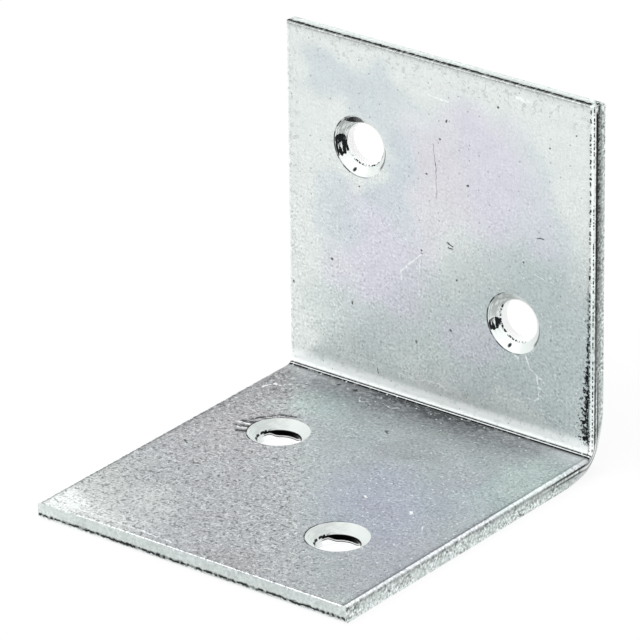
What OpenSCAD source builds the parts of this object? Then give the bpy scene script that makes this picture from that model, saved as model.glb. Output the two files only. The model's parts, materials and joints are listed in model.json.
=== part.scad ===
// Corner brace bracket: one piece of sheet steel with four countersunk screw holes, folded once
// to a right angle. The flat leg lies on Z = 0 with its toe at -Y, the upright leg stands at +Y,
// and the fold runs along X. The origin is the middle of the underside.

/* [Sheet] */
// Thickness of the steel sheet
sheet_t = 1.9; // [1.5:0.1:2.5]
// Width of the bracket, along the fold
width = 40; // [33:0.5:80]

/* [Fold] */
// Radius of the inside of the fold
fold_inner_r = 0.7; // [0.3:0.1:2]
// How far bending drew the outside of the fold in at each end of its width
draw_in = 0.8; // [0.2:0.05:1]
// How far along each leg the drawing in reaches, from the outer face of the other leg
draw_in_reach = 8; // [6:0.5:12]

/* [Legs] */
// Length of the flat leg, from its toe to the outer face of the upright leg
base_leg = 44.2; // [36.5:0.1:90]
// Height of the upright leg, from the underside of the flat leg
upright_leg = 41.5; // [34.5:0.1:90]

/* [Edges] */
// Rounding of the side edges of the inner faces, where the shears rolled the steel over
inner_side_r = 0.4; // [0.15:0.05:0.6]
// Rounding of the toe edges of the inner faces
inner_toe_r = 0.25; // [0.15:0.05:0.6]
// Rounding of the outer edges of the two sides
outer_side_r = 0.1; // [0.05:0.05:0.6]
// Rounding of the outer edges of the two toes
outer_toe_r = 0.5; // [0.15:0.05:0.8]

/* [Screw holes] */
// Diameter of the straight part of a screw hole
bore_d = 4.6; // [3:0.1:5.6]
// Diameter at which the countersink's cone would meet the inner face
countersink_d = 6.7; // [6:0.1:8.1]
// Full angle of the countersink's cone
countersink_angle = 90; // [80:5:120]
// Rounding of the countersink's rim
rim_r = 0.12; // [0.05:0.01:0.2]

/* [Places of the screw holes] */
// Distance between the two columns of holes, along the fold
column_pitch = 20; // [9:0.5:32]
// Distance that the two columns lie off the middle of the width, towards +X
column_offset = -0.2; // [-1:0.1:1]
// Distance from each leg's toe to the hole nearest to it
toe_to_hole = 12; // [8:0.5:14]
// Distance between the two holes of the flat leg, along the leg
base_row_pitch = 15.8; // [9:0.1:16]
// Distance between the two holes of the upright leg, along the leg
upright_row_pitch = 15; // [9:0.1:16]

/* [Hidden] */
$fn = 96;

// How far cutters and trimming shapes run past the steel
past = 1;
// The outside of the fold is concentric with its inside
fold_outer_r = fold_inner_r + sheet_t;
toe_y = -base_leg / 2;
back_y = base_leg / 2;
fold_axis_y = back_y - fold_outer_r;
fold_axis_z = fold_outer_r;
left_column = column_offset - column_pitch / 2;
right_column = column_offset + column_pitch / 2;

// A rectangle from [0, 0] to [w, t] with rounded corners: outer_r on its lower side, Y = 0, and
// inner_r on its upper side, Y = t
module rounded_bar(w, t, outer_r, inner_r) {
    polygon([
        [outer_r, 0], [w - outer_r, 0],
        [w, outer_r], [w, t - inner_r],
        [w - inner_r, t], [inner_r, t],
        [0, t - inner_r], [0, outer_r],
    ]);
    for (x = [outer_r, w - outer_r]) translate([x, outer_r]) circle(r = outer_r);
    for (x = [inner_r, w - inner_r]) translate([x, t - inner_r]) circle(r = inner_r);
}

// The sheet cut across, with its outer face on Y = 0 and the middle of its width on X = 0
module sheet_section() {
    translate([-width / 2, 0]) rounded_bar(width, sheet_t, outer_side_r, inner_side_r);
}

// A straight leg that lies on Z = 0, from its toe on Y = 0 to its square end on Y = length
module leg(length) {
    intersection() {
        translate([0, length, 0]) rotate([90, 0, 0]) linear_extrude(length) sheet_section();
        // The leg seen from its side, which rounds the toe and runs on beyond the square end
        translate([-width / 2 - past, 0, 0]) rotate([90, 0, 90]) linear_extrude(width + 2 * past)
            rounded_bar(length + sheet_t, sheet_t, outer_toe_r, inner_toe_r);
    }
}

// The quarter turn of sheet that joins the two legs
module fold() {
    translate([0, fold_axis_y, fold_axis_z]) rotate([0, 90, 0]) rotate_extrude(angle = 90)
        translate([fold_outer_r, 0]) rotate([0, 0, 90]) sheet_section();
}

// The space beyond the fold's end at +X: a cone round a line that lies draw_in_reach from both
// outer faces. It is deepest, by draw_in, on the outside of the fold and barely reaches the inside.
module drawn_in_end() {
    // Distance from the cone's axis to the outside of the fold, where it's deepest
    heel_r = sqrt(2) * (draw_in_reach - fold_outer_r) + fold_outer_r;
    slope = draw_in / (heel_r - draw_in_reach);
    far_r = sqrt(2) * draw_in_reach + past;
    translate([0, back_y - draw_in_reach, draw_in_reach]) rotate([0, 90, 0])
        rotate_extrude(angle = 90) polygon([
            [draw_in_reach - past, width / 2 + slope * past],
            [far_r, width / 2 - slope * (far_r - draw_in_reach)],
            [far_r, width / 2 + slope * past],
        ]);
}

// The space of one countersunk hole: its mouth is on Z = 0 and opens towards +Z
module screw_hole() {
    bore_r = bore_d / 2;
    countersink_r = countersink_d / 2;
    slope = countersink_angle / 2;
    cone_depth = (countersink_r - bore_r) / tan(slope);
    // The rim's rounding touches the inner face at this radius
    mouth_r = countersink_r + rim_r * (1 - sin(slope)) / cos(slope);
    rotate_extrude() difference() {
        polygon([
            [0, past], [mouth_r, past], [mouth_r, 0],
            [mouth_r - rim_r * cos(slope), -rim_r * (1 - sin(slope))],
            [bore_r, -cone_depth], [bore_r, -sheet_t - past], [0, -sheet_t - past],
        ]);
        translate([mouth_r, -rim_r]) circle(r = rim_r);
    }
}

// Moves a hole to the flat leg, row away from the toe
module on_base(column, row) {
    translate([column, toe_y + row, sheet_t]) children();
}

// Moves a hole to the upright leg, row down from its top
module on_upright(column, row) {
    translate([column, back_y - sheet_t, upright_leg - row]) rotate([90, 0, 0]) children();
}

// Each leg has one hole near its toe and one near the fold, in opposite columns
module screw_holes() {
    on_base(right_column, toe_to_hole) screw_hole();
    on_base(left_column, toe_to_hole + base_row_pitch) screw_hole();
    on_upright(left_column, toe_to_hole) screw_hole();
    on_upright(right_column, toe_to_hole + upright_row_pitch) screw_hole();
}

module bracket() {
    color("gainsboro") difference() {
        union() {
            translate([0, toe_y, 0]) leg(fold_axis_y - toe_y);
            fold();
            translate([0, back_y, upright_leg]) rotate([-90, 0, 180])
                leg(upright_leg - fold_axis_z);
        }
        screw_holes();
        drawn_in_end();
        mirror([1, 0, 0]) drawn_in_end();
    }
}

bracket();
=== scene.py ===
"""Looks for the corner brace bracket: bright zinc-plated steel sheet on a white studio floor.

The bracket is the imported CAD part. Its surface is one procedural material, laid out on the
unrolled sheet: across is millimetres from the middle, along is millimetres from the middle of
the fold, positive up the upright and negative out along the base, and depth is millimetres
below the inner faces.
"""

import json
import math

import bpy
from mathutils import Matrix, Vector


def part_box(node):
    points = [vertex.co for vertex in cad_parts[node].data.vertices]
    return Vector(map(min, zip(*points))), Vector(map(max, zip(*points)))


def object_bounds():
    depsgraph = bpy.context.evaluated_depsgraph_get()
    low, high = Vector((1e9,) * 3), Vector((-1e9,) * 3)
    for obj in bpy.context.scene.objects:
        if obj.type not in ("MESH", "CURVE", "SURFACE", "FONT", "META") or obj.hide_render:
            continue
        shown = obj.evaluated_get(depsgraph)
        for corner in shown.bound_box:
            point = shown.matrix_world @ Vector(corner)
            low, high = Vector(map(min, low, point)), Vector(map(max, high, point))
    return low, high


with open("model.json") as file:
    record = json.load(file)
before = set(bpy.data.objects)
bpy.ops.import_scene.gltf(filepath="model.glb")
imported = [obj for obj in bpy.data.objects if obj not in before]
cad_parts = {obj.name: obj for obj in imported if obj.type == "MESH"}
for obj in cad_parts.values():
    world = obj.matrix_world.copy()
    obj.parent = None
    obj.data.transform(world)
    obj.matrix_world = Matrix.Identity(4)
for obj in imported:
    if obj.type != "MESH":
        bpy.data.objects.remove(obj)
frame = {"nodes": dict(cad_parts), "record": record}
CAD_LOW, CAD_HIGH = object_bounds()
BRACKET_LOW, BRACKET_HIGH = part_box("bracket")

MM_PER_M = 1000.0

# The sheet, in millimetres. The CAD box gives its outside. Its thickness, the fold's inner radius
# and the radius of the countersinks repeat the CAD source.
SHEET = 1.9
FOLD_RADIUS = 0.7
COUNTERSINK_RADIUS = 3.35
HALF_WIDTH = BRACKET_HIGH.x * MM_PER_M
TOP = BRACKET_HIGH.z * MM_PER_M
BACK = BRACKET_HIGH.y * MM_PER_M
TOE = BRACKET_LOW.y * MM_PER_M
FOLD_Y = BACK - SHEET - FOLD_RADIUS
FOLD_Z = SHEET + FOLD_RADIUS
HALF_FOLD = FOLD_RADIUS * math.pi / 4
TOP_ALONG = TOP - FOLD_Z + HALF_FOLD
TOE_ALONG = TOE - FOLD_Y - HALF_FOLD


def on_upright(x, z):
    """Place on the unrolled sheet of a point on the upright, z above the underside."""
    return x, z - FOLD_Z + HALF_FOLD


def on_base(x, y):
    """Place on the unrolled sheet of a point on the base."""
    return x, y - FOLD_Y - HALF_FOLD


def linear(tone):
    """Linear value, 0 to 1, of a tone given as it looks on a screen, 0 to 255."""
    share = tone / 255.0
    return share / 12.92 if share <= 0.04045 else ((share + 0.055) / 1.055) ** 2.4


def seen(red, green, blue):
    """Colour given as it looks on a screen, as the linear colour that shaders take."""
    return linear(red), linear(green), linear(blue)


# ---- node trees ----

# Share of the half width of a thin line or speck over which it is at its full strength.
FULL_SHARE = 0.4


def fill(socket, value):
    """Joins another node's output to a socket, or sets the socket to a plain value."""
    if isinstance(value, bpy.types.NodeSocket):
        socket.node.id_data.links.new(value, socket)
    elif hasattr(value, "__len__"):
        size = len(socket.default_value)
        socket.default_value = (tuple(value) + (1.0,))[:size]
    else:
        socket.default_value = value


class Graph:
    """Adds nodes to one node tree. Each method gives a new node's output.

    Cycles can hold only so many numbers for one material, and draws it black beyond that. Each
    Map Range node takes one for good, so many marks are joined before they share one ramp.
    """

    def __init__(self, tree):
        self.tree = tree

    def node(self, kind, **settings):
        made = self.tree.nodes.new("ShaderNode" + kind)
        for name, value in settings.items():
            setattr(made, name, value)
        return made

    def math(self, operation, *values):
        made = self.node("Math", operation=operation)
        for socket, value in zip(made.inputs, values):
            fill(socket, value)
        return made.outputs[0]

    def share(self, value):
        """Keeps a value between 0 and 1."""
        made = self.node("Clamp")
        fill(made.inputs[0], value)
        return made.outputs[0]

    def vector(self, operation, *values):
        made = self.node("VectorMath", operation=operation)
        for socket, value in zip(made.inputs, values):
            fill(socket, value)
        gives_number = operation in ("LENGTH", "DOT_PRODUCT")
        return made.outputs["Value" if gives_number else "Vector"]

    def scale(self, vector, factor):
        made = self.node("VectorMath", operation="SCALE")
        fill(made.inputs[0], vector)
        fill(made.inputs["Scale"], factor)
        return made.outputs["Vector"]

    def join(self, x, y, z=0.0):
        made = self.node("CombineXYZ")
        for socket, value in zip(made.inputs, (x, y, z)):
            fill(socket, value)
        return made.outputs[0]

    def split(self, vector):
        made = self.node("SeparateXYZ")
        fill(made.inputs[0], vector)
        return tuple(made.outputs)

    def ramp(self, value, start, end, before=0.0, after=1.0):
        """Goes smoothly from before to after as value goes from start to end."""
        made = self.node("MapRange", interpolation_type="SMOOTHSTEP")
        for socket, number in zip(made.inputs, (value, start, end, before, after)):
            fill(socket, number)
        return made.outputs[0]

    def band(self, value, middle, ends, full):
        """1 where value is within full of middle, falling to 0 at ends from it."""
        away = self.math("ABSOLUTE", self.math("SUBTRACT", value, middle))
        return self.ramp(away, ends, full)

    def centred(self, noise):
        """A noise moved from around 0.5 to around 0."""
        return self.math("SUBTRACT", noise, 0.5)

    def product(self, *values):
        result = values[0]
        for value in values[1:]:
            result = self.math("MULTIPLY", result, value)
        return result

    def highest(self, values):
        """The highest of the values, which may be made one by one as they are asked for."""
        values = iter(values)
        result = next(values)
        for value in values:
            result = self.math("MAXIMUM", result, value)
        return result

    def blend(self, share, a, b):
        """A number between a and b."""
        # A Mix node has a pair of inputs for each kind of value: 2 and 3 are its numbers.
        made = self.node("Mix", data_type="FLOAT")
        fill(made.inputs[0], share)
        fill(made.inputs[2], a)
        fill(made.inputs[3], b)
        return made.outputs[0]

    def mix(self, share, a, b, mode="MIX"):
        """A colour between a and b."""
        # Inputs 6 and 7 of a Mix node and its output 2 are its colours.
        made = self.node("Mix", data_type="RGBA", blend_type=mode)
        fill(made.inputs[0], share)
        fill(made.inputs[6], a)
        fill(made.inputs[7], b)
        return made.outputs[2]

    def noise(self, place, size, detail=2.0, roughness=0.5):
        """Cloudy noise around 0.5, in cells of the given size."""
        made = self.node("TexNoise")
        fill(made.inputs["Vector"], place)
        fill(made.inputs["Scale"], 1.0 / size)
        fill(made.inputs["Detail"], detail)
        fill(made.inputs["Roughness"], roughness)
        return made.outputs[0]

    def colour_noise(self, place, size):
        """Three cloudy noises around 0.5 at once, as a vector."""
        made = self.node("TexNoise")
        fill(made.inputs["Vector"], place)
        fill(made.inputs["Scale"], 1.0 / size)
        return made.outputs["Color"]

    def specks(self, place, size, radius):
        """A scatter of round specks, one in each cell of the given size, and a number for each."""
        made = self.node("TexVoronoi", voronoi_dimensions="2D")
        fill(made.inputs["Vector"], place)
        fill(made.inputs["Scale"], 1.0 / size)
        reach = radius / size
        inside = self.ramp(made.outputs["Distance"], reach, FULL_SHARE * reach)
        return inside, self.vector("DOT_PRODUCT", made.outputs["Color"], (1.0, 0.0, 0.0))

    def profile(self, value, stops):
        """Tone, as a share of CLEAN, that follows value. stops lists values with their tones."""
        first, last = stops[0][0], stops[-1][0]
        made = self.node("ValToRGB")
        fill(made.inputs[0], self.math("DIVIDE", self.math("SUBTRACT", value, first), last - first))
        points = made.color_ramp.elements
        while len(points) < len(stops):
            points.new(1.0)
        for point, (place, tone) in zip(points, stops):
            share = linear(tone) / linear(CLEAN)
            point.position = (place - first) / (last - first)
            point.color = (share, share, share, 1.0)
        return made.outputs[0]

    def near_spot(self, flat, place, radii):
        """1 at the middle of a patch, 0 at its radii, and less than 0 beyond."""
        sizes = (1.0 / radii[0], 1.0 / radii[1], 0.0)
        shift = (-place[0] / radii[0], -place[1] / radii[1], 0.0)
        reach = self.vector("LENGTH", self.vector("MULTIPLY_ADD", flat, sizes, shift))
        return self.math("SUBTRACT", 1.0, reach)

    def spot(self, flat, place, radii, core=0.0):
        """A patch with soft edges, 1 inside its core and 0 beyond its radii."""
        return self.ramp(self.near_spot(flat, place, radii), 0.0, 1.0 - core)

    def near_stroke(self, flat, start, end, width):
        """1 on a straight line from start to end, 0 at its width, and less than 0 beyond."""
        start, end = Vector((*start, 0.0)), Vector((*end, 0.0))
        run = end - start
        offset = self.vector("SUBTRACT", flat, start)
        passed = self.share(self.vector("DOT_PRODUCT", offset, run / run.length_squared))
        nearest = self.scale(tuple(run), passed)
        away = self.vector("LENGTH", self.vector("SUBTRACT", offset, nearest))
        return self.math("MULTIPLY_ADD", away, -1.0 / width, 1.0)


# ---- camera ----

# The photograph's viewing angle and, in metres, how far off the camera is and how far its aim is
# from the middle of the bracket.
AZIMUTH = math.radians(38.04)
ELEVATION = math.radians(24.69)
ROLL = math.radians(-0.736)
DISTANCE = 0.64561
AIM_RIGHT = -0.00003
AIM_UP = -0.00091

# The focal length and the sensor's width, in millimetres, and what the camera sees, in metres.
LENS = 354.28
SENSOR = 36.0
NEAREST = 0.05
FARTHEST = 20.0


def add_camera():
    """The camera at the photograph's viewing angle."""
    turn = Matrix.Rotation(AZIMUTH, 4, "Z")
    turn = turn @ Matrix.Rotation(math.pi / 2 - ELEVATION, 4, "X")
    turn = turn @ Matrix.Rotation(ROLL, 4, "Z")
    lens = bpy.data.cameras.new("camera")
    lens.sensor_width = SENSOR
    lens.lens = LENS
    lens.clip_start = NEAREST
    lens.clip_end = FARTHEST
    camera = bpy.data.objects.new("camera", lens)
    centre = (CAD_LOW + CAD_HIGH) / 2
    offset = turn.to_3x3() @ Vector((AIM_RIGHT, AIM_UP, DISTANCE))
    camera.matrix_world = Matrix.Translation(centre + offset) @ turn
    bpy.context.scene.collection.objects.link(camera)
    bpy.context.scene.camera = camera


# ---- studio ----

FLOOR_SIZE = 6.0
FLOOR_COLOUR = (0.92, 0.92, 0.92)

# Share of plain white in what the camera and reflections see of the floor.
FLOOR_GLOW = 0.85

# Greys of the room at floor level and overhead, in front of the bracket and behind it.
FRONT_GREYS = ((0.92, 0.92, 0.92), (0.80, 0.80, 0.80))
BACK_GREYS = ((0.90, 0.90, 0.90), (0.52, 0.52, 0.52))

# Soft square lamps: name, place and side in metres, and power in watts.
SOFTBOXES = (
    ("overhead_softbox", (-0.1, -0.1, 0.9), 1.0, 4.7),
    ("front_softbox", (-0.45, -0.40, 0.80), 0.35, 1.0),
)


def add_floor():
    """A floor that looks nearly white and keeps the bracket's soft shadow."""
    bpy.ops.mesh.primitive_plane_add(size=FLOOR_SIZE, location=(0, 0, CAD_LOW.z))
    floor = bpy.context.object
    floor.name = "floor"
    material = bpy.data.materials.new("white_floor")
    material.use_nodes = True
    tree = material.node_tree
    tree.nodes.remove(tree.nodes["Principled BSDF"])
    g = Graph(tree)
    path = g.node("LightPath")
    rays = ("Is Camera Ray", "Is Glossy Ray", "Is Transmission Ray")
    looked_at = g.highest([path.outputs[ray] for ray in rays])
    paint = g.node("BsdfDiffuse")
    fill(paint.inputs["Color"], FLOOR_COLOUR)
    glow = g.node("Emission")
    both = g.node("MixShader")
    fill(both.inputs[0], g.math("MULTIPLY", looked_at, FLOOR_GLOW))
    fill(both.inputs[1], paint.outputs[0])
    fill(both.inputs[2], glow.outputs[0])
    fill(tree.nodes["Material Output"].inputs["Surface"], both.outputs[0])
    floor.data.materials.append(material)


def add_world():
    """A pale room, a little darker behind the bracket and overhead."""
    world = bpy.data.worlds.new("studio")
    bpy.context.scene.world = world
    world.use_nodes = True
    g = Graph(world.node_tree)
    x, y, z = g.split(g.node("TexCoord").outputs["Generated"])
    behind = g.ramp(y, -0.5, 0.6)
    height = g.ramp(z, 0.05, 0.8)
    tone = g.mix(behind, g.mix(height, *FRONT_GREYS), g.mix(height, *BACK_GREYS))
    fill(world.node_tree.nodes["Background"].inputs["Color"], tone)


def add_softbox(name, place, size, power):
    """A square lamp that faces the bracket."""
    light = bpy.data.lights.new(name, "AREA")
    light.shape = "SQUARE"
    light.size = size
    light.energy = power
    lamp = bpy.data.objects.new(name, light)
    lamp.location = place
    aim = (CAD_LOW + CAD_HIGH) / 2 - Vector(place)
    lamp.rotation_euler = aim.to_track_quat("-Z", "Y").to_euler()
    bpy.context.scene.collection.objects.link(lamp)


# ---- zinc-plated steel ----

# The tone of clean plating as it looks on a screen. Edge tones are taken as shares of it.
CLEAN = 226.0
CLEAN_TONE = (1.0, 1.0, 1.0)
# Plain white, painted on the upright's hole walls as a painted highlight.
WHITE = (1.0, 1.0, 1.0)

# How a ramp goes, in millimetres, to be 1 on a face and 0 off it: on the side, top and toe faces
# by the distance past their edges, and on the inner faces and the back by depth.
END_FACE = (-0.12, -0.02)
INNER_FACE = (0.6, 0.3)
BACK_FACE = (SHEET - 0.06, SHEET - 0.02)

# How far the diagonal across the base leans: millimetres across for each millimetre along.
DIAGONAL_SLOPE = 0.783

# Depths in millimetres from which the walls of the holes are painted.
UPRIGHT_WALL = 0.95
BASE_WALL = 0.90

# Heading on the unrolled sheet from a base hole's middle to where its painted shadow band is
# widest.
BANDED_SIDE = (-0.225, 0.974)

# How fast the turning marks in a countersink change round the hole and towards its middle.
TURNING_ROUND = 2.2
TURNING_INWARD = 7.0

# The middle tone of the grain, and the relief of the grain and the torn faces in millimetres.
GRAIN_TONE = 1.02
GRAIN_HEIGHT = 0.006
TORN_HEIGHT = 0.02

# Metallic share of bright and of dull plating, the roughness of bright plating, which varies in
# clouds, and what dull and sheared places and the soiled, painted-shade crease add to it.
METALLIC = (1.0, 0.15)
SMOOTH_ROUGHNESS = (0.20, 0.28)
ADDED_ROUGHNESS = 0.34

# Tints of the plating as they look on a screen.
PALE_GREEN = seen(227, 233, 230)
LAVENDER = seen(216, 216, 226)
WARM_LILAC = seen(219, 218, 222)
BLUE_GREY = seen(206, 215, 220)
GREY_GREEN = seen(200, 211, 210)
BASE_GREY = seen(211, 214, 217)
BASE_WARM = seen(211, 210, 214)
BASE_PALE = seen(238, 244, 241)
BASE_BLUE = seen(205, 210, 219)
BASE_GREEN = seen(214, 225, 224)
BASE_DARK = seen(196, 197, 200)
# Dark of the crease along the fold: dirt and painted shade.
GRIME_AND_SHADE_TONE = seen(42, 47, 50)
SHEARED = seen(210, 218, 216)
# Black of pits and dark marks, also used for painted shade and painted dark reflections in the
# countersinks.
PIT_AND_SHADE_BLACK = seen(34, 37, 39)
# Bright fresh zinc of scratches and hole walls, also the painted reflection band above the fold.
FRESH_ZINC_AND_SHEEN = seen(246, 251, 250)

# Patches of tint: tint, share, place and radii in millimetres. Later ones lie over earlier ones.
PATCHES = (
    (BLUE_GREY, 0.8, on_upright(-11.0, 36.0), (11.0, 4.0)),
    (BLUE_GREY, 0.7, on_upright(13.0, 28.0), (7.0, 12.0)),
    (LAVENDER, 1.0, on_upright(4.0, 29.5), (13.5, 10.5)),
    (LAVENDER, 1.0, on_upright(-7.5, 18.0), (10.0, 13.0)),
    (WARM_LILAC, 0.7, on_upright(0.5, 28.0), (5.0, 9.0)),
    (BLUE_GREY, 0.7, on_upright(-13.0, 22.0), (5.5, 6.0)),
    (BLUE_GREY, 0.9, on_upright(-6.0, 28.0), (4.5, 8.0)),
    (GREY_GREEN, 0.9, on_upright(10.5, 12.0), (19.0, 13.0)),
    (GREY_GREEN, 0.5, on_upright(-6.0, 8.0), (8.0, 5.0)),
    (GREY_GREEN, 0.6, on_upright(-13.0, 8.0), (7.0, 7.0)),
    (GREY_GREEN, 0.4, on_upright(10.0, 20.5), (11.0, 4.5)),
    (PALE_GREEN, 0.7, on_upright(3.0, 4.3), (24.0, 2.4)),
    (LAVENDER, 0.6, on_upright(4.0, 11.0), (5.0, 5.0)),
    (PALE_GREEN, 0.9, on_upright(-10.8, 28.6), (4.8, 4.8)),
    (PALE_GREEN, 0.9, on_upright(-19.8, 22.0), (4.0, 26.0)),
    (PALE_GREEN, 0.8, on_upright(18.0, 34.0), (4.0, 13.0)),
    (PALE_GREEN, 0.9, on_upright(0.0, 41.5), (26.0, 3.0)),
    (BASE_WARM, 0.8, on_base(-14.0, 8.0), (9.0, 14.0)),
    (BASE_DARK, 0.9, on_base(-20.0, 10.0), (6.0, 15.0)),
    (BASE_PALE, 0.8, on_base(-19.5, -21.0), (16.0, 13.0)),
    (BASE_GREEN, 0.9, on_base(-11.5, 13.0), (6.0, 5.0)),
    (BASE_GREEN, 0.9, on_base(18.0, 10.0), (5.0, 12.0)),
    (BASE_BLUE, 0.7, on_base(9.0, -1.0), (11.0, 12.0)),
    (BASE_DARK, 0.8, on_base(3.5, 10.5), (6.0, 3.5)),
    (BASE_DARK, 0.6, on_base(4.0, -21.5), (5.5, 2.5)),
    (BASE_PALE, 0.4, on_base(19.0, 12.5), (4.0, 5.5)),
    (BASE_PALE, 0.5, on_base(19.5, -22.0), (4.0, 4.0)),
    (BASE_PALE, 0.35, on_base(-18.5, -11.0), (4.5, 6.0)),
)

# Tones across the edges, as they look on a screen, by millimetres past the inner edge. Their
# bright stops are painted highlights of the rounded edges; near the toe's foot a dark stop is a
# painted shadow line and the last stops a painted reflection of the floor. The other stops are
# the sheared faces' bands and dark lines.
SIDE_OF_UPRIGHT = ((-1.1, 226), (-0.62, 220), (-0.42, 240), (-0.28, 250), (-0.14, 246),
                   (0.02, 225), (0.12, 242), (0.22, 225), (0.28, 90), (0.33, 6), (0.50, 10),
                   (0.60, 110), (0.8, 160), (1.15, 185), (1.45, 212), (1.9, 230))
SIDE_NEAR_HEEL = ((-1.1, 226), (-0.66, 215), (-0.52, 170), (-0.40, 235), (-0.28, 250), (0.20, 240),
                  (0.27, 110), (0.33, 16), (0.44, 16), (0.50, 190), (0.62, 240), (0.72, 215),
                  (0.80, 70), (0.90, 70), (1.0, 200), (1.9, 222))
SIDE_OF_BASE = ((-1.1, 226), (-0.66, 208), (-0.50, 150), (-0.40, 190), (-0.27, 252), (-0.03, 254),
                (0.10, 205), (0.35, 175), (0.5, 205), (0.9, 222), (1.9, 236))
TOE_EDGE = ((-0.9, 226), (-0.5, 214), (-0.3, 218), (-0.14, 206), (0.0, 206), (0.15, 220),
            (1.1, 224), (1.2, 170), (1.28, 40), (1.44, 60), (1.55, 235), (1.9, 250))
TOP_EDGE = ((-0.9, 226), (-0.4, 214), (-0.15, 180), (0.22, 140), (0.30, 6), (0.58, 6),
            (0.68, 215), (1.2, 246), (1.5, 240), (1.6, 130), (1.75, 130), (1.9, 246))

# Tones across the fold, by millimetres along the sheet from the middle of the fold: painted
# highlight lines and painted dark reflection lines on the fold's inner curve.
FOLD_LINES = ((-0.9, 226), (-0.62, 200), (-0.42, 110), (-0.36, 2), (-0.22, 2), (-0.17, 235),
              (-0.10, 246), (-0.06, 40), (-0.01, 2), (0.04, 20), (0.10, 200), (0.20, 246),
              (0.9, 240), (2.0, 226))

# Tones round the cones and down the walls of the screw holes, by degrees and by depth: painted
# light and shade, brighter on the cones' lit side, and painted shadow bands in the base holes'
# walls.
CONE_OF_UPRIGHT = ((-180, 236), (-155, 248), (-95, 246), (-75, 228), (-20, 222), (40, 230),
                   (80, 226), (100, 212), (135, 214), (155, 236), (180, 236))
CONE_OF_BASE = ((-180, 222), (-140, 240), (-90, 236), (0, 220), (90, 216), (150, 214), (180, 222))
WALL_OF_BASE = ((0.9, 225), (0.95, 20), (1.0, 2), (1.50, 2), (1.56, 190),
                (1.61, 235), (1.65, 30), (1.71, 30), (1.77, 240), (1.9, 245))

# Dark pits and nicks: place in millimetres, then radii.
PITS = (
    (on_upright(1.15, 35.3), (0.16, 0.26)),
    (on_upright(7.8, 38.5), (0.24, 0.18)),
    (on_upright(14.3, 35.5), (0.17, 0.17)),
    (on_upright(17.7, 37.7), (0.17, 0.17)),
    (on_upright(3.9, 28.6), (0.24, 0.22)),
    (on_upright(-1.5, 28.6), (0.24, 0.16)),
    (on_upright(0.3, 33.0), (0.20, 0.15)),
    (on_upright(-2.2, 19.8), (0.22, 0.18)),
    (on_upright(-2.2, 19.3), (0.16, 0.12)),
    (on_upright(-14.1, 15.6), (0.28, 0.24)),
    (on_upright(-19.3, 11.6), (0.20, 0.30)),
    (on_upright(-11.4, 11.2), (0.16, 0.26)),
    (on_upright(-3.0, 8.9), (0.26, 0.24)),
    (on_upright(-10.4, 24.9), (0.18, 0.16)),
    (on_upright(11.1, 21.9), (0.15, 0.17)),
    (on_upright(2.4, 17.4), (0.17, 0.14)),
    (on_upright(1.6, 11.5), (0.24, 0.20)),
    (on_upright(-0.4, 4.8), (0.22, 0.18)),
    (on_base(-1.1, 12.6), (0.26, 0.24)),
    (on_base(8.2, 8.1), (0.24, 0.14)),
    (on_base(-6.6, 16.4), (0.18, 0.18)),
    (on_base(-12.2, 18.7), (0.30, 0.36)),
    (on_base(-9.9, 18.6), (0.45, 0.40)),
)

# Scratches: width in millimetres, then the points that each runs through.
DARK_SCRATCHES = (
    (0.04, on_upright(-0.6, 32.3), on_upright(-0.25, 29.6), on_upright(-0.2, 26.2)),
    (0.12, on_upright(1.2, 21.45), on_upright(1.95, 21.25)),
    (0.10, on_upright(1.3, 21.05), on_upright(1.9, 20.90)),
    (0.13, on_upright(12.8, 25.0), on_upright(13.6, 25.15)),
    (0.06, on_upright(-8.2, 4.4), on_upright(-8.1, 3.8)),
    (0.10, on_base(-1.3, 12.5), on_base(-0.6, 12.1)),
    (0.16, on_base(-16.9, -1.8), on_base(-16.3, -2.1)),
    (0.28, on_base(-14.5, 6.4), on_base(-13.9, 7.4), on_base(-12.6, 9.0), on_base(-11.0, 9.5)),
    (0.46, on_base(-14.9, 5.5), on_base(-13.6, 6.0)),
    (0.44, on_base(-14.8, 4.5), on_base(-13.6, 4.9)),
    (0.42, on_base(-14.0, 3.4), on_base(-13.0, 3.9)),
)
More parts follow.
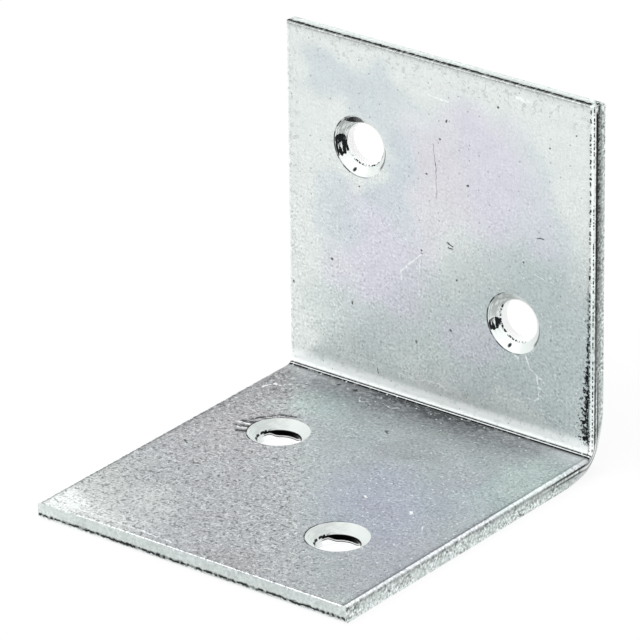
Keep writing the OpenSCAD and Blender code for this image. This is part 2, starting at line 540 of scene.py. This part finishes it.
BRIGHT_SCRATCHES = (
    (0.12, on_upright(-2.3, 19.2), on_upright(-3.3, 18.2), on_upright(-5.0, 16.6),
     on_upright(-4.8, 15.6)),
    (0.07, on_upright(-2.4, 18.6), on_upright(-2.6, 16.0), on_upright(-2.5, 14.6)),
    (0.14, on_upright(11.3, 11.2), on_upright(11.8, 10.0), on_upright(12.6, 9.4),
     on_upright(13.7, 8.7)),
    (0.16, on_upright(12.8, 9.2), on_upright(13.0, 8.0), on_upright(14.1, 7.5)),
    (0.14, on_upright(13.0, 8.0), on_upright(13.1, 6.9), on_upright(12.6, 6.3),
     on_upright(11.8, 6.4)),
    (0.12, on_upright(-6.0, 4.7), on_upright(-3.0, 4.4), on_upright(-0.8, 4.9),
     on_upright(1.1, 4.4)),
    (0.10, on_upright(-3.2, 4.5), on_upright(-2.4, 5.6)),
    (0.08, on_upright(12.5, 20.9), on_upright(13.7, 20.4)),
    (0.20, on_upright(9.6, 11.0), on_upright(10.4, 10.7)),
    (0.12, on_upright(-1.3, 37.7), on_upright(1.3, 37.4)),
    (0.22, on_upright(9.7, 40.2), on_upright(12.0, 39.9)),
    (0.18, on_base(6.0, -0.9), on_base(6.6, -1.2)),
    (0.32, on_base(12.3, -1.2), on_base(12.8, -1.6)),
    (0.09, on_base(15.4, -2.9), on_base(15.8, -3.9)),
    (0.14, on_base(-17.0, -20.8), on_base(-8.0, -20.9), on_base(-3.0, -21.2)),
    (0.14, on_base(-18.5, 13.5), on_base(-17.9, 14.7), on_base(-17.1, 14.8), on_base(-16.4, 15.8)),
    (0.20, on_base(-15.4, 5.1), on_base(-13.9, 5.4)),
    (0.18, on_base(-14.6, 4.2), on_base(-13.4, 4.4)),
    (0.08, on_base(-8.6, 17.6), on_base(-7.9, 16.6), on_base(-7.0, 17.2)),
    (0.08, on_base(-5.6, 17.8), on_base(-4.4, 17.3), on_base(-3.4, 17.8)),
)

# Painted dark reflections inside the upright's countersinks, by offset from the hole's middle and
# radii, one dark dot in each, by its offset, and the heading of the side where dots rim the wall.
COUNTERSINK_DARK_REFLECTIONS = {
    "upright_hole_near_top": (((-2.85, -0.55), (0.95, 1.5)), ((-1.15, 2.85), (1.5, 0.75))),
    "upright_hole_near_fold": (((-2.80, -0.85), (0.60, 0.85)),),
}
COUNTERSINK_DOT = {
    "upright_hole_near_top": (-0.95, -2.9),
    "upright_hole_near_fold": (-0.80, -2.84),
}
DOTTED_SIDE = {
    "upright_hole_near_top": (0.2, -0.6),
    "upright_hole_near_fold": (-0.8, -0.6),
}


class Sheet:
    """Places on the unrolled sheet, in millimetres, as node outputs."""

    def __init__(self, g):
        self.unroll(g)
        self.find_edges(g)
        self.find_regions(g)
        self.cloudy = self.wander(g, 6.0, 10.0)
        self.wobbly = self.wander(g, 0.7, 0.55)

    def unroll(self, g):
        """Turns a point of the bracket into its place across, along and below the sheet."""
        x, y, z = g.split(g.scale(g.node("TexCoord").outputs["Object"], MM_PER_M))
        # Distances from the fold's axis: out over the base, up the upright, and past it.
        out = g.math("SUBTRACT", FOLD_Y, y)
        up = g.math("SUBTRACT", z, FOLD_Z)
        behind = g.math("MAXIMUM", g.math("SUBTRACT", 0.0, out), 0.0)
        below = g.math("MAXIMUM", g.math("SUBTRACT", 0.0, up), 0.0)
        from_fold = g.vector("LENGTH", g.join(behind, below))
        turned = g.math("DIVIDE", g.math("SUBTRACT", behind, below), from_fold)
        straight = g.math("SUBTRACT", g.math("MAXIMUM", up, 0.0), g.math("MAXIMUM", out, 0.0))
        self.across = x
        self.depth = g.math("SUBTRACT", from_fold, FOLD_RADIUS)
        self.along = g.math("MULTIPLY_ADD", turned, HALF_FOLD, straight)
        self.flat = g.join(self.across, self.along)
        self.whole = g.join(self.across, self.along, self.depth)

    def find_edges(self, g):
        """How far a place is past each inner edge, over the edge and on down the face behind it."""
        past_width = g.math("SUBTRACT", g.math("ABSOLUTE", self.across), HALF_WIDTH)
        past_height = g.math("SUBTRACT", self.along, TOP_ALONG)
        past_length = g.math("SUBTRACT", TOE_ALONG, self.along)
        shiver = g.product(g.centred(g.noise(self.whole, 0.35)), 0.45)
        rough_depth = g.math("ADD", self.depth, shiver)
        self.past_side = g.math("ADD", self.depth, past_width)
        self.rough_side = g.math("ADD", rough_depth, past_width)
        self.past_top = g.math("ADD", rough_depth, past_height)
        self.past_toe = g.math("ADD", rough_depth, past_length)
        self.on_side = g.ramp(past_width, *END_FACE)
        self.on_top = g.ramp(past_height, *END_FACE)
        self.on_toe = g.ramp(past_length, *END_FACE)

    def find_regions(self, g):
        """Parts of the bracket: each is 1 inside it and 0 outside."""
        self.sheared = g.highest([self.on_side, self.on_top, self.on_toe])
        self.inner = g.ramp(self.depth, *INNER_FACE)
        self.back = g.ramp(self.depth, *BACK_FACE)
        self.on_upright = g.ramp(self.along, -0.3, 0.3)
        self.at_right = g.ramp(self.across, -1.0, 1.0)
        # The base is grainier up to a diagonal, where the upright's reflection starts.
        slanted = g.math("MULTIPLY", self.along, DIAGONAL_SLOPE)
        self.past_diagonal = g.math("ADD", self.across, slanted)

    def wander(self, g, size, reach):
        """The flat place, moved about by noise in cells of the given size."""
        shift = g.vector("SUBTRACT", g.colour_noise(self.whole, size), (0.5, 0.5, 0.5))
        return g.vector("MULTIPLY_ADD", shift, (reach, reach, 0.0), self.flat)


class Hole:
    """One countersunk screw hole on the unrolled sheet, as node outputs."""

    def __init__(self, g, sheet, mount):
        x, y, z = (value * MM_PER_M for value in mount["pos_m"])
        self.name = mount["name"]
        self.through_upright = abs(mount["axis"][1]) > 0.5
        place = on_upright(x, z) if self.through_upright else on_base(x, y)
        self.offset = g.vector("SUBTRACT", sheet.flat, (*place, 0.0))
        self.reach = g.vector("LENGTH", self.offset)
        self.heading = g.vector("NORMALIZE", self.offset)
        sideways, forward, _ = g.split(self.heading)
        self.angle = g.math("DEGREES", g.math("ARCTAN2", forward, sideways))
        within = g.ramp(self.reach, COUNTERSINK_RADIUS + 0.04, COUNTERSINK_RADIUS - 0.02)
        self.inside = g.product(within, g.ramp(sheet.depth, SHEET, SHEET - 0.04))
        turned_place = g.join(g.math("MULTIPLY", sideways, TURNING_ROUND),
                              g.math("MULTIPLY", forward, TURNING_ROUND),
                              g.math("MULTIPLY", self.reach, TURNING_INWARD))
        self.turning = g.noise(turned_place, 1.0, roughness=0.65)
        self.streaks = g.ramp(self.turning, 0.46, 0.51)

    def ring(self, g, radius, half_width):
        """A thin ring round the hole."""
        return g.band(self.reach, radius, half_width, FULL_SHARE * half_width)

    def dots(self, g, size):
        """Dots round the hole, each about size millimetres long."""
        return g.ramp(g.noise(g.scale(self.heading, self.reach), size, detail=1.0), 0.47, 0.53)

    def facing(self, g, side, start, end):
        """1 on the side of the hole that the given heading points to, 0 on the other side."""
        return g.ramp(g.vector("DOT_PRODUCT", self.heading, (*side, 0.0)), start, end)


def tinted_plating(g, sheet):
    """The cloudy tints of the plating, before any marks, with a burnished band and painted
    reflection above the fold.
    """
    colour = g.mix(sheet.on_upright, BASE_GREY, PALE_GREEN)
    for tint, share, place, radii in PATCHES:
        patch = g.spot(sheet.cloudy, place, radii, 0.35)
        colour = g.mix(g.product(patch, share), colour, tint)
    # A burnished band just above the fold, with a painted reflection on it.
    above_fold = g.product(g.ramp(sheet.along, 0.1, 0.3), g.ramp(sheet.along, 2.4, 0.9))
    uneven = g.ramp(g.noise(sheet.whole, 0.5), 0.35, 0.55, before=0.45, after=0.9)
    rubbed_and_sheen = g.product(above_fold, uneven)
    colour = g.mix(rubbed_and_sheen, colour, FRESH_ZINC_AND_SHEEN)
    return g.mix(g.product(sheet.sheared, 0.9), colour, SHEARED)


def side_tone(g, sheet):
    """Tones over the side edges, with painted highlights of the rounded edges, which change from
    the toe to the fold and up to the top.
    """
    at_right = g.ramp(sheet.at_right, 0.0, 1.0, before=0.35)
    strength = g.product(g.ramp(sheet.along, 0.0, 28.0, before=0.6), at_right)
    of_upright = g.mix(strength, CLEAN_TONE, g.profile(sheet.past_side, SIDE_OF_UPRIGHT))
    of_base = g.profile(sheet.past_side, SIDE_OF_BASE)
    tone = g.mix(g.ramp(sheet.along, -18.0, 1.0), of_base, of_upright)
    near_heel = g.product(g.ramp(sheet.along, 11.0, 6.0), g.ramp(sheet.along, -12.0, -2.0))
    near_heel = g.product(near_heel, sheet.at_right, 0.9)
    tone = g.mix(near_heel, tone, g.profile(sheet.past_side, SIDE_NEAR_HEEL))
    top_corner = g.ramp(sheet.along, TOP_ALONG - 1.0, TOP_ALONG - 0.6)
    return g.mix(g.highest([top_corner, sheet.on_toe]), tone, CLEAN_TONE)


def edge_tone(g, sheet):
    """How the tone of the plating changes over the edges and along the fold, with painted
    highlights and painted shade lines.
    """
    breaks = g.ramp(g.noise(sheet.flat, 0.5), 0.40, 0.46)
    # Painted highlight of the toe's rounded edge, and low on the toe a painted shadow line and a
    # painted reflection of the floor.
    toe = g.profile(sheet.past_toe, TOE_EDGE)
    toe = g.mix(g.ramp(breaks, 0.0, 1.0, before=0.6), CLEAN_TONE, toe)
    toe = g.mix(sheet.on_side, toe, CLEAN_TONE)
    # Painted highlights and dark lines along the top edge.
    top = g.profile(sheet.past_top, TOP_EDGE)
    top = g.mix(g.ramp(breaks, 0.0, 1.0, before=0.7), CLEAN_TONE, top)
    right_corner = g.ramp(sheet.across, HALF_WIDTH - 0.75, HALF_WIDTH - 0.55)
    top = g.mix(right_corner, top, CLEAN_TONE)
    # Painted highlight and dark reflection lines along the fold.
    fold = g.mix(sheet.inner, CLEAN_TONE, g.profile(sheet.along, FOLD_LINES))
    tone = side_tone(g, sheet)
    for other in (toe, top, fold):
        tone = g.mix(1.0, tone, other, "MULTIPLY")
    return g.mix(sheet.back, tone, CLEAN_TONE)


def dashed_line(g, sheet, past, middle, half_width, dash, seed):
    """A broken thin line that runs along an edge, at one distance past it."""
    line = g.band(past, middle, half_width, FULL_SHARE * half_width)
    dashes = g.ramp(g.noise(g.join(seed, sheet.along), dash, detail=1.0), 0.46, 0.52)
    stretches = g.ramp(g.noise(g.join(seed, sheet.along), 6.0 * dash, detail=1.0), 0.38, 0.46)
    return g.product(line, dashes, stretches)


def edge_lines(g, sheet):
    """Dark broken lines along the upright's side edges."""
    outer = dashed_line(g, sheet, sheet.rough_side,
                        middle=-0.50, half_width=0.14, dash=0.5, seed=3.0)
    inner = dashed_line(g, sheet, sheet.past_side,
                        middle=-0.04, half_width=0.13, dash=0.35, seed=7.0)
    at_right = g.ramp(sheet.at_right, 0.0, 1.0, before=0.15)
    return g.product(g.highest([outer, inner]), at_right, g.math("SUBTRACT", 1.0, sheet.on_top))


def torn_marks(g, sheet):
    """Dark marks on the upright's side faces, where the sheet tore as it was sheared."""
    place = g.vector("MULTIPLY", sheet.whole, (1.0, 1.2, 0.7))
    torn = g.ramp(g.noise(place, 0.4, detail=3.0, roughness=0.7), 0.48, 0.52)
    inner_half = g.product(g.ramp(sheet.past_side, 0.3, 0.45), g.ramp(sheet.past_side, 1.5, 0.6))
    higher_up = g.ramp(sheet.along, 2.0, 34.0, before=0.2)
    at_right = g.ramp(sheet.at_right, 0.0, 1.0, before=0.3)
    return g.product(torn, inner_half, higher_up, at_right)


def side_dark_blots(g, sheet):
    """Black blots low on the upright along its right side, wider towards the fold."""
    width = g.ramp(sheet.along, 13.0, 2.5, before=0.6, after=2.0)
    away = g.math("SUBTRACT", -0.58, sheet.past_side)
    thinning = g.product(g.math("DIVIDE", away, width), 0.30)
    creep = g.math("SUBTRACT", 0.5, thinning)
    blots = g.noise(sheet.whole, 0.5, detail=3.0, roughness=0.7)
    blot_mask = g.ramp(g.math("ADD", blots, creep), 0.87, 0.92)
    low_down = g.product(g.ramp(sheet.along, 23.0, 12.0), g.ramp(sheet.along, 0.7, 1.5))
    return g.product(blot_mask, low_down, sheet.at_right, g.ramp(sheet.past_side, -0.5, -0.62))


def side_marks(g, sheet):
    """All the dark marks along the upright's side edges."""
    marks = g.highest([edge_lines(g, sheet), torn_marks(g, sheet), side_dark_blots(g, sheet)])
    return g.product(marks, sheet.on_upright, g.ramp(sheet.depth, 1.7, 1.5))


def crease_grime_and_shade(g, sheet):
    """Dark mottled soiling and painted shade on the base along the fold, deepest a little right of
    the middle.
    """
    nearness = g.ramp(sheet.along, -3.2, -0.5)
    place = g.vector("MULTIPLY", sheet.whole, (0.7, 1.0, 1.0))
    grit = g.noise(place, 0.45, detail=4.0, roughness=0.7)
    near = g.ramp(g.math("MULTIPLY_ADD", nearness, 0.55, grit), 0.82, 0.98)
    wide = g.product(g.ramp(sheet.along, -9.5, 0.0),
                     g.ramp(grit, 0.35, 0.6, before=0.7, after=0.98))
    deepest = g.product(g.spot(sheet.cloudy, on_base(2.0, 19.0), (11.0, 3.6), 0.2), 0.96)
    before_fold = g.ramp(sheet.along, -0.25, -0.6)
    middle = g.spot(sheet.cloudy, on_base(-0.5, 17.0), (28.0, 20.0), 0.2)
    soiled_and_shaded = g.product(g.highest([near, wide, deepest]), before_fold, middle, sheet.inner)
    return g.math("MINIMUM", soiled_and_shaded, 1.0)


def grain_strength(g, sheet):
    """The grain is strong on the base and on the side faces, and fades up the upright."""
    on_base_leg = g.ramp(sheet.past_diagonal, -22.0, -17.0, before=2.1, after=1.5)
    on_upright_leg = g.ramp(sheet.along, 2.0, 34.0, before=1.15, after=0.35)
    strength = g.blend(sheet.on_upright, on_base_leg, on_upright_leg)
    strength = g.blend(sheet.on_side, strength, 3.0)
    strength = g.blend(g.highest([sheet.on_toe, sheet.on_top]), strength, 0.7)
    uneven = g.ramp(g.noise(sheet.whole, 1.6), 0.35, 0.65, before=0.6, after=1.4)
    burnished = g.ramp(g.math("ABSOLUTE", sheet.along), 2.6, 1.4, before=1.0, after=0.3)
    return g.product(strength, uneven, burnished)


def grain_tone(g, sheet):
    """Fine mottled grain with the streaks of rolling and soft clouds under it."""
    fine = g.noise(sheet.whole, 0.30, roughness=0.6)
    rolled = g.noise(g.vector("MULTIPLY", sheet.whole, (1.0, 0.12, 1.0)), 0.25)
    clouds = g.noise(sheet.whole, 2.4, detail=3.0)
    swing = g.product(g.centred(fine), grain_strength(g, sheet))
    swing = g.math("ADD", swing, g.product(g.centred(rolled), 0.12))
    swing = g.math("ADD", swing, g.product(g.centred(clouds), 0.14))
    return g.math("ADD", swing, GRAIN_TONE)


def wires(g, sheet, seed):
    """Short curled hair-thin marks."""
    place = g.vector("ADD", sheet.whole, (seed, seed, 0.0))
    line = g.band(g.noise(place, 1.1, roughness=0.6), 0.5, 0.05, 0.015)
    return g.product(line, g.ramp(g.noise(place, 0.7, detail=1.0), 0.50, 0.56))


def wire_strength(g, sheet):
    """Wiry marks are thick on the base left of the upright's reflection, sparse elsewhere."""
    on_base_leg = g.ramp(sheet.past_diagonal, -20.0, -15.0, before=0.75, after=0.25)
    on_upright_leg = g.ramp(sheet.along, 3.0, 30.0, before=0.22, after=0.08)
    near_rim = g.highest([g.ramp(sheet.along, 35.5, 37.5), g.ramp(sheet.across, -17.5, -19.0)])
    on_upright_leg = g.highest([on_upright_leg, g.product(near_rim, 0.3)])
    strength = g.blend(sheet.on_upright, on_base_leg, on_upright_leg)
    return g.product(strength, g.math("SUBTRACT", 1.0, sheet.sheared))


def flecks(g, sheet, size, radius, share):
    """Round specks on the faces, kept in only the given share of the cells."""
    inside, number = g.specks(sheet.flat, size, radius)
    kept = g.math("LESS_THAN", number, share)
    return g.product(inside, kept, g.math("SUBTRACT", 1.0, sheet.sheared))


def scratched(g, sheet, scratches):
    """1 on the scratches, which are slightly wobbly, and 0 off them."""
    nearness = g.highest(g.near_stroke(sheet.wobbly, start, end, width)
                         for width, *points in scratches
                         for start, end in zip(points, points[1:]))
    return g.ramp(nearness, 0.0, 0.7)


def pitted(g, sheet):
    """1 in the pits and 0 off them."""
    nearness = g.highest(g.near_spot(sheet.wobbly, place, radii) for place, radii in PITS)
    return g.ramp(nearness, 0.0, 0.6)


def dark_marks(g, sheet):
    """Pits, dark scratches, dark specks and dark wiry marks on the inner faces."""
    named = g.product(g.highest([pitted(g, sheet), scratched(g, sheet, DARK_SCRATCHES)]), 0.9)
    fine = g.product(flecks(g, sheet, size=1.3, radius=0.13, share=0.18), 0.45)
    wiry = g.product(wires(g, sheet, seed=11.0), wire_strength(g, sheet), 0.7)
    return g.product(g.highest([named, fine, wiry]), sheet.inner)


def bright_marks(g, sheet):
    """Bright scratches, specks and wiry marks on the inner faces."""
    gaps = g.ramp(g.noise(sheet.whole, 0.45), 0.42, 0.52, before=0.25)
    named = g.product(scratched(g, sheet, BRIGHT_SCRATCHES), gaps)
    low_down = g.ramp(sheet.along, 30.0, 16.0, before=0.25, after=0.75)
    fine = g.product(flecks(g, sheet, size=1.1, radius=0.14, share=0.25), low_down)
    wiry = g.product(wires(g, sheet, seed=37.0), wire_strength(g, sheet), 0.6)
    return g.product(g.highest([named, fine, wiry]), sheet.inner)


def upright_hole_marks(g, sheet, hole):
    """Dark marks inside one of the upright's countersinks, each from 0 to 1: painted dark
    reflections on the cone, a dot, a dotted ring, turning streaks and a painted shade arc at the
    rim.
    """
    on_cone = g.ramp(sheet.depth, UPRIGHT_WALL, UPRIGHT_WALL - 0.05)
    for place, radii in COUNTERSINK_DARK_REFLECTIONS[hole.name]:
        # Painted dark reflections on the cone.
        dark_reflection = g.math("MULTIPLY_ADD", g.spot(hole.offset, place, radii, 0.7), 0.45, hole.turning)
        yield g.product(g.ramp(dark_reflection, 0.78, 0.86), on_cone)
    yield g.spot(hole.offset, COUNTERSINK_DOT[hole.name], (0.28, 0.28), 0.4)
    dotted_side = hole.facing(g, DOTTED_SIDE[hole.name], 0.2, 0.4)
    yield g.product(hole.ring(g, 2.42, 0.11), hole.dots(g, 0.25), dotted_side)
    streaked_side = hole.facing(g, (-0.7, 0.7), 0.5, 0.85)
    yield g.product(hole.streaks, streaked_side, 0.3, on_cone)
    shaded_side = hole.facing(g, (0.97, -0.25), 0.88, 0.95)
    yield g.product(hole.ring(g, COUNTERSINK_RADIUS - 0.14, 0.24), shaded_side, 0.8)


def base_hole_marks(g, hole):
    """Dark dots inside one of the base's countersinks, where its cone meets its wall."""
    dotted_side = hole.facing(g, (-0.95, -0.31), 0.55, 0.8)
    yield g.product(hole.ring(g, 2.45, 0.14), hole.dots(g, 0.5), dotted_side)


def base_hole_wall(g, sheet, hole):
    """The wall of one of the base's holes, with a painted shadow band that tapers off to both
    sides.
    """
    faint = g.ramp(hole.streaks, 0.0, 1.0, before=0.1, after=0.4)
    shadow = g.highest([hole.facing(g, BANDED_SIDE, 0.3, 0.4), faint])
    tapered = g.math("MULTIPLY_ADD", hole.facing(g, BANDED_SIDE, 0.92, 0.6), 0.42, sheet.depth)
    return g.mix(shadow, FRESH_ZINC_AND_SHEEN, g.profile(tapered, WALL_OF_BASE))


def paint_hole(g, sheet, colour, hole):
    """Paints one countersunk hole over the colour: its cone and wall with their painted light and
    shade, its marks and its rim.
    """
    if hole.through_upright:
        # The upright's hole walls are painted plain white, a painted highlight for walls lit to
        # white.
        cone_stops, wall, wall_depth = CONE_OF_UPRIGHT, WHITE, UPRIGHT_WALL
        marks = upright_hole_marks(g, sheet, hole)
    else:
        cone_stops, wall, wall_depth = CONE_OF_BASE, base_hole_wall(g, sheet, hole), BASE_WALL
        marks = base_hole_marks(g, hole)
    # Painted light and shade round the cone.
    cone = g.mix(1.0, g.profile(hole.angle, cone_stops), PALE_GREEN, "MULTIPLY")
    turned = g.product(hole.streaks, hole.facing(g, (-0.9, 0.3), 0.3, 0.8))
    cone = g.scale(cone, g.ramp(turned, 0.0, 1.0, before=1.0, after=0.88))
    colour = g.mix(hole.inside, colour, cone)
    on_wall = g.product(hole.inside, g.ramp(sheet.depth, wall_depth, wall_depth + 0.05))
    colour = g.mix(on_wall, colour, wall)
    colour = g.mix(g.product(g.highest(marks), hole.inside), colour, PIT_AND_SHADE_BLACK)
    outline = g.product(hole.ring(g, COUNTERSINK_RADIUS + 0.10, 0.11), sheet.inner)
    uneven = g.ramp(hole.dots(g, 1.5), 0.0, 1.0, before=0.45, after=0.95)
    outline = g.product(outline, hole.facing(g, (-0.9, -0.2), -0.3, 0.5), uneven)
    return g.mix(outline, colour, PIT_AND_SHADE_BLACK)


def dullness(g, sheet, colour, bright, drilled):
    """Where the plating is burnished, worn or drilled, and so mirrors the room less."""
    scuffed = g.product(g.ramp(sheet.along, 22.0, 12.0, after=0.35), sheet.on_upright)
    near_fold = g.band(sheet.along, 0.0, 2.2, 0.7)
    burnished = g.product(g.highest([near_fold, scuffed]), sheet.inner)
    toe_corner = g.spot(sheet.cloudy, on_base(-21.0, -22.5), (14.0, 9.0))
    round_it = g.product(g.spot(sheet.cloudy, on_base(-19.0, -22.5), (28.0, 13.0)), 0.5)
    rim = g.band(sheet.past_side, -0.08, 0.32, 0.2)
    worn = g.highest([rim, g.product(sheet.on_top, 0.6), g.product(sheet.sheared, 0.25)])
    dull = g.highest([burnished, toe_corner, round_it, worn, g.product(bright, 0.8), drilled])
    # Dark marks stay fully metallic, because a dull surface would turn them grey.
    brightness = g.node("RGBToBW")
    fill(brightness.inputs[0], colour)
    return g.product(dull, g.ramp(brightness.outputs[0], 0.02, 0.15))


def surface_height(g, sheet):
    """Relief in millimetres: the rolled grain, and the torn side faces."""
    grain = g.product(g.noise(sheet.whole, 0.35), GRAIN_HEIGHT)
    torn = g.noise(g.vector("MULTIPLY", sheet.whole, (1.0, 1.0, 0.4)), 0.35, detail=3.0)
    return g.math("ADD", grain, g.product(torn, sheet.on_side, TORN_HEIGHT))


def plated_steel():
    """The one material of the bracket."""
    material = bpy.data.materials.new("zinc_plated_steel")
    material.use_nodes = True
    tree = material.node_tree
    g = Graph(tree)
    shader = tree.nodes["Principled BSDF"]
    sheet = Sheet(g)
    dark, bright = dark_marks(g, sheet), bright_marks(g, sheet)
    grime_and_shade = crease_grime_and_shade(g, sheet)

    colour = tinted_plating(g, sheet)
    # Dirt and painted shade in the crease along the fold.
    colour = g.mix(g.product(grime_and_shade, 0.92), colour, GRIME_AND_SHADE_TONE)
    colour = g.mix(1.0, colour, edge_tone(g, sheet), "MULTIPLY")
    colour = g.mix(1.0, colour, grain_tone(g, sheet), "MULTIPLY")
    colour = g.mix(dark, colour, PIT_AND_SHADE_BLACK)
    colour = g.mix(side_marks(g, sheet), colour, PIT_AND_SHADE_BLACK)
    colour = g.mix(bright, colour, FRESH_ZINC_AND_SHEEN)
    drilled = 0.0
    for mount in frame["record"]["mounts"]:
        if mount["kind"] == "bore":
            hole = Hole(g, sheet, mount)
            colour = paint_hole(g, sheet, colour, hole)
            drilled = g.math("MAXIMUM", drilled, hole.inside)
    fill(shader.inputs["Base Color"], colour)

    dull = dullness(g, sheet, colour, bright, drilled)
    fill(shader.inputs["Metallic"], g.ramp(dull, 0.0, 1.0, *METALLIC))
    clouds = g.noise(sheet.whole, 3.0, detail=3.0)
    roughness = g.ramp(clouds, 0.3, 0.7, *SMOOTH_ROUGHNESS)
    coarse = g.product(g.highest([sheet.sheared, dull, grime_and_shade]), ADDED_ROUGHNESS)
    fill(shader.inputs["Roughness"], g.math("ADD", roughness, coarse))
    relief = g.node("Bump")
    fill(relief.inputs["Distance"], 1.0 / MM_PER_M)
    fill(relief.inputs["Height"], surface_height(g, sheet))
    fill(shader.inputs["Normal"], relief.outputs[0])
    return material


def main():
    bpy.context.scene.view_settings.view_transform = "Standard"
    add_camera()
    add_floor()
    add_world()
    for softbox in SOFTBOXES:
        add_softbox(*softbox)
    steel = plated_steel()
    for slot in frame["nodes"]["bracket"].material_slots:
        slot.material = steel


main()
